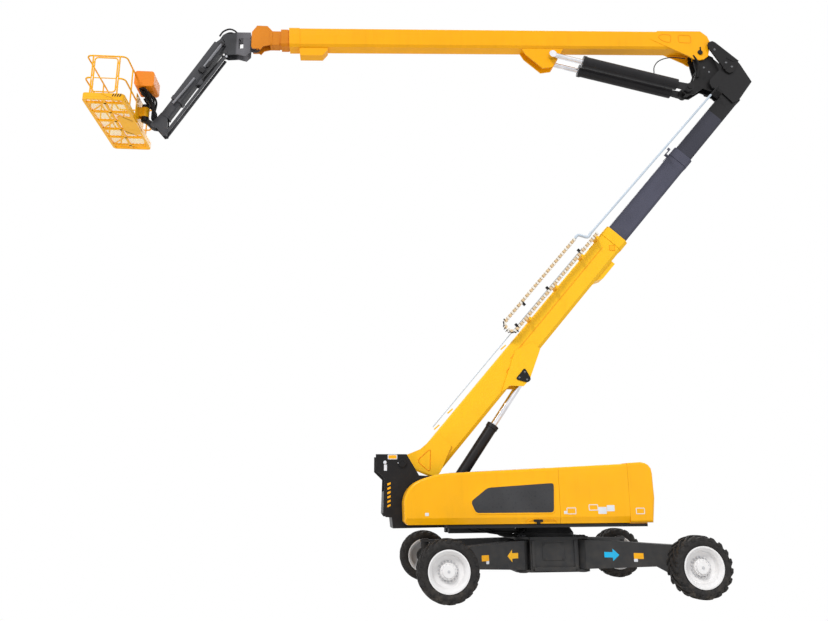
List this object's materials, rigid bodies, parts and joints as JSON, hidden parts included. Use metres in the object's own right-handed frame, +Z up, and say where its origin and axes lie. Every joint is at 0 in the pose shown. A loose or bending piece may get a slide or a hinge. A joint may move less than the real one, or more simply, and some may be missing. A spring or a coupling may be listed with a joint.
{
  "type": "articulating boom lift",
  "caption": "Self-propelled articulating boom lift: swing-out wheeled legs, slewing turntable, telescopic tower boom, levelled upright, telescopic upper boom, jib and work platform.",
  "frame": {"origin": "on the ground under the slewing axis", "axes": "+X towards the counterweight, -X towards the tower boom's foot and the platform, +Y towards the far side, +Z up"},
  "size_m": [16.142, 4.995, 13.6178],
  "materials": {
    "chassis_paint": "dark grey satin paint",
    "rim_paint": "light grey gloss paint",
    "tyre_rubber": "matt black rubber",
    "cover_yellow": "yellow-orange gloss paint",
    "boom_yellow": "yellow-orange gloss paint",
    "tower_grey": "dark blue-grey gloss paint",
    "knuckle_black": "black satin paint",
    "boom_orange": "deep orange gloss paint",
    "jib_grey": "dark grey satin paint",
    "clevis_grey": "mid grey satin paint",
    "cylinder_black": "black satin paint",
    "rod_chrome": "hard chrome",
    "platform_yellow": "yellow-orange gloss paint",
    "console_orange": "orange plastic",
    "hose_beige": "beige plastic",
    "conduit_pale": "pale grey plastic",
    "engine_grey": "grey iron"
  },
  "bodies": {
    "chassis": {"chassis_block": "chassis_paint", "slew_ring": "chassis_paint"},
    "leg_near_right": {"leg_near_right": "chassis_paint"},
    "steer_near_right": {"knuckle_near_right": "chassis_paint"},
    "wheel_near_right": {"rim_near_right": "rim_paint", "tyre_near_right": "tyre_rubber"},
    "leg_near_left": {"leg_near_left": "chassis_paint"},
    "steer_near_left": {"knuckle_near_left": "chassis_paint"},
    "wheel_near_left": {"rim_near_left": "rim_paint", "tyre_near_left": "tyre_rubber"},
    "leg_far_right": {"leg_far_right": "chassis_paint"},
    "steer_far_right": {"knuckle_far_right": "chassis_paint"},
    "wheel_far_right": {"rim_far_right": "rim_paint", "tyre_far_right": "tyre_rubber"},
    "leg_far_left": {"leg_far_left": "chassis_paint"},
    "steer_far_left": {"knuckle_far_left": "chassis_paint"},
    "wheel_far_left": {"rim_far_left": "rim_paint", "tyre_far_left": "tyre_rubber"},
    "turntable": {"turntable_deck": "chassis_paint", "pedestal": "knuckle_black", "counterweight": "cover_yellow", "engine_block": "engine_grey", "cover_near_rear": "cover_yellow", "cover_far_rear": "cover_yellow"},
    "cover_near_front": {"cover_near_front": "cover_yellow"},
    "cover_far_front": {"cover_far_front": "cover_yellow"},
    "tower_base": {"tower_base": "boom_yellow"},
    "hose_chain": {"hose_chain": "hose_beige"},
    "tower_mid": {"tower_mid": "tower_grey"},
    "tower_fly": {"tower_fly": "tower_grey", "link_plate_near": "knuckle_black", "link_plate_far": "knuckle_black", "hose_conduit": "conduit_pale"},
    "tower_lift_rod": {"tower_lift_rod": "rod_chrome"},
    "tower_lift_barrel": {"tower_lift_barrel": "cylinder_black"},
    "upright": {"upright": "knuckle_black"},
    "upper_base": {"upper_base": "boom_yellow"},
    "upper_mid": {"upper_mid": "boom_orange"},
    "upper_fly": {"upper_fly": "boom_orange"},
    "jib_clevis": {"jib_clevis": "clevis_grey"},
    "upper_lift_barrels": {"upper_lift_barrels": "cylinder_black"},
    "upper_lift_rods": {"upper_lift_rods": "rod_chrome"},
    "jib_outer": {"jib_outer": "jib_grey"},
    "jib_inner": {"jib_inner": "jib_grey"},
    "jib_lift_barrel": {"jib_lift_barrel": "cylinder_black"},
    "jib_lift_rod": {"jib_lift_rod": "rod_chrome"},
    "platform_bracket": {"platform_bracket": "knuckle_black"},
    "platform": {"platform_support": "platform_yellow", "platform_floor": "platform_yellow", "platform_rails": "platform_yellow", "console": "console_orange"},
    "gate": {"gate": "platform_yellow"}
  },
  "joints": [
    {"name": "leg_swing_near_right", "type": "hinge", "parent": "chassis", "child": "leg_near_right", "pos_m": [0.62, -0.67, 0.75], "axis": [0, 0, -1], "range_deg": [-35.44, 0]},
    {"name": "steer_near_right", "type": "hinge", "parent": "leg_near_right", "child": "steer_near_right", "pos_m": [2.38, -1.9225, 0.575], "axis": [0, 0, 1], "range_deg": [-35.44, 25]},
    {"name": "wheel_spin_near_right", "type": "hinge", "parent": "steer_near_right", "child": "wheel_near_right", "pos_m": [2.38, -2.275, 0.575], "axis": [0, 1, 0], "continuous": true},
    {"name": "leg_swing_near_left", "type": "hinge", "parent": "chassis", "child": "leg_near_left", "pos_m": [-0.62, -0.67, 0.75], "axis": [0, 0, 1], "range_deg": [-35.44, 0]},
    {"name": "steer_near_left", "type": "hinge", "parent": "leg_near_left", "child": "steer_near_left", "pos_m": [-2.38, -1.9225, 0.575], "axis": [0, 0, -1], "range_deg": [-35.44, 25]},
    {"name": "wheel_spin_near_left", "type": "hinge", "parent": "steer_near_left", "child": "wheel_near_left", "pos_m": [-2.38, -2.275, 0.575], "axis": [0, 1, 0], "continuous": true},
    {"name": "leg_swing_far_right", "type": "hinge", "parent": "chassis", "child": "leg_far_right", "pos_m": [0.62, 0.67, 0.75], "axis": [0, 0, 1], "range_deg": [-35.44, 0]},
    {"name": "steer_far_right", "type": "hinge", "parent": "leg_far_right", "child": "steer_far_right", "pos_m": [2.38, 1.9225, 0.575], "axis": [0, 0, -1], "range_deg": [-35.44, 25]},
    {"name": "wheel_spin_far_right", "type": "hinge", "parent": "steer_far_right", "child": "wheel_far_right", "pos_m": [2.38, 2.275, 0.575], "axis": [0, 1, 0], "continuous": true},
    {"name": "leg_swing_far_left", "type": "hinge", "parent": "chassis", "child": "leg_far_left", "pos_m": [-0.62, 0.67, 0.75], "axis": [0, 0, -1], "range_deg": [-35.44, 0]},
    {"name": "steer_far_left", "type": "hinge", "parent": "leg_far_left", "child": "steer_far_left", "pos_m": [-2.38, 1.9225, 0.575], "axis": [0, 0, 1], "range_deg": [-35.44, 25]},
    {"name": "wheel_spin_far_left", "type": "hinge", "parent": "steer_far_left", "child": "wheel_far_left", "pos_m": [-2.38, 2.275, 0.575], "axis": [0, 1, 0], "continuous": true},
    {"name": "slew", "type": "hinge", "parent": "chassis", "child": "turntable", "pos_m": [0, 0, 1.285], "axis": [0, 0, 1], "continuous": true},
    {"name": "cover_near_open", "type": "hinge", "parent": "turntable", "child": "cover_near_front", "pos_m": [-1, -0.622, 2.43219], "axis": [-0.9989, 0, -0.0471], "range_deg": [0, 65]},
    {"name": "cover_far_open", "type": "hinge", "parent": "turntable", "child": "cover_far_front", "pos_m": [-1, 0.622, 2.43219], "axis": [0.9989, 0, 0.0471], "range_deg": [0, 65]},
    {"name": "tower_lift", "type": "hinge", "parent": "turntable", "child": "tower_base", "pos_m": [-3.068, 0, 2.597], "axis": [0, -1, 0], "range_deg": [-49.3, 23]},
    {"name": "tower_mid_slide", "type": "slide", "parent": "tower_base", "child": "tower_mid", "axis": [0.6521, 0, 0.7581], "range_m": [-2.45, 2.6]},
    {"name": "tower_fly_slide", "type": "slide", "parent": "tower_mid", "child": "tower_fly", "axis": [0.6521, 0, 0.7581], "range_m": [-1.25, 2.8]},
    {"name": "hose_chain_slide", "type": "slide", "parent": "tower_base", "child": "hose_chain", "axis": [0.6521, 0, 0.7581], "range_m": [-1.25, 1.35]},
    {"name": "upright_level", "type": "hinge", "parent": "tower_fly", "child": "upright", "pos_m": [4.95, 0, 12.07], "axis": [0, -1, 0], "range_deg": [-24, 50]},
    {"name": "tower_cyl_tilt", "type": "hinge", "parent": "tower_base", "child": "tower_lift_rod", "pos_m": [-0.28, 0, 4.51], "axis": [0, -1, 0], "range_deg": [-8, 8]},
    {"name": "tower_cyl_slide", "type": "slide", "parent": "tower_lift_rod", "child": "tower_lift_barrel", "axis": [0.5696, 0, 0.8219], "range_m": [-0.7, 1.2]},
    {"name": "upper_lift", "type": "hinge", "parent": "upright", "child": "upper_base", "pos_m": [4.634, 0, 12.94], "axis": [0, 1, 0], "range_deg": [-1.5, 77]},
    {"name": "upper_mid_slide", "type": "slide", "parent": "upper_base", "child": "upper_mid", "axis": [-0.9992, 0, -0.0401], "range_m": [0, 6]},
    {"name": "upper_fly_slide", "type": "slide", "parent": "upper_mid", "child": "upper_fly", "axis": [-0.9992, 0, -0.0401], "range_m": [0, 6]},
    {"name": "upper_cyl_tilt", "type": "hinge", "parent": "upright", "child": "upper_lift_barrels", "pos_m": [4.286, 0, 11.95], "axis": [0, 1, 0], "range_deg": [-3, 75]},
    {"name": "upper_cyl_slide", "type": "slide", "parent": "upper_lift_barrels", "child": "upper_lift_rods", "axis": [-0.9757, 0, 0.2191], "range_m": [-0.2, 1.4]},
    {"name": "clevis_level", "type": "hinge", "parent": "upper_fly", "child": "jib_clevis", "pos_m": [-6.6, 0, 12.72], "axis": [0, 1, 0], "range_deg": [-78, 2]},
    {"name": "jib_lift", "type": "hinge", "parent": "jib_clevis", "child": "jib_outer", "pos_m": [-7.31, 0, 12.88], "axis": [0, 1, 0], "range_deg": [-5, 130]},
    {"name": "jib_slide", "type": "slide", "parent": "jib_outer", "child": "jib_inner", "axis": [-0.506, 0, -0.8625], "range_m": [0, 1]},
    {"name": "jib_cyl_tilt", "type": "hinge", "parent": "jib_outer", "child": "jib_lift_barrel", "pos_m": [-7.88274, 0, 11.65083], "axis": [0, 1, 0], "range_deg": [-1.1, 3.8]},
    {"name": "jib_cyl_slide", "type": "slide", "parent": "jib_lift_barrel", "child": "jib_lift_rod", "axis": [0.5547, 0, 0.8321], "range_m": [-0.049, 0.771]},
    {"name": "platform_level", "type": "hinge", "parent": "jib_inner", "child": "platform_bracket", "pos_m": [-8.905, 0, 10.48], "axis": [0, 1, 0], "range_deg": [-132, 6]},
    {"name": "platform_turn", "type": "hinge", "parent": "platform_bracket", "child": "platform", "pos_m": [-9.13, 0, 10.8], "axis": [0, 0, 1], "range_deg": [-80, 80]},
    {"name": "gate_open", "type": "hinge", "parent": "platform", "child": "gate", "pos_m": [-10.017, -1.199, 11], "axis": [0, 0, 1], "range_deg": [0, 90]}
  ],
  "couplings": [
    {"joint": "hose_chain_slide", "follows": "tower_mid_slide", "ratio": 0.5},
    {"joint": "upright_level", "follows": "tower_lift", "ratio": -1},
    {"joint": "tower_cyl_tilt", "follows": "tower_lift", "ratio": -0.0753},
    {"joint": "tower_cyl_slide", "follows": "tower_lift", "m_per_rad": -1.2508},
    {"joint": "upper_cyl_tilt", "follows": "upper_lift", "ratio": 0.9081},
    {"joint": "upper_cyl_slide", "follows": "upper_lift", "m_per_rad": 0.9183},
    {"joint": "clevis_level", "follows": "upper_lift", "ratio": -1},
    {"joint": "jib_cyl_tilt", "follows": "jib_lift", "ratio": 0.0219},
    {"joint": "jib_cyl_slide", "follows": "jib_lift", "m_per_rad": 0.331},
    {"joint": "platform_level", "follows": "jib_lift", "ratio": -1}
  ]
}
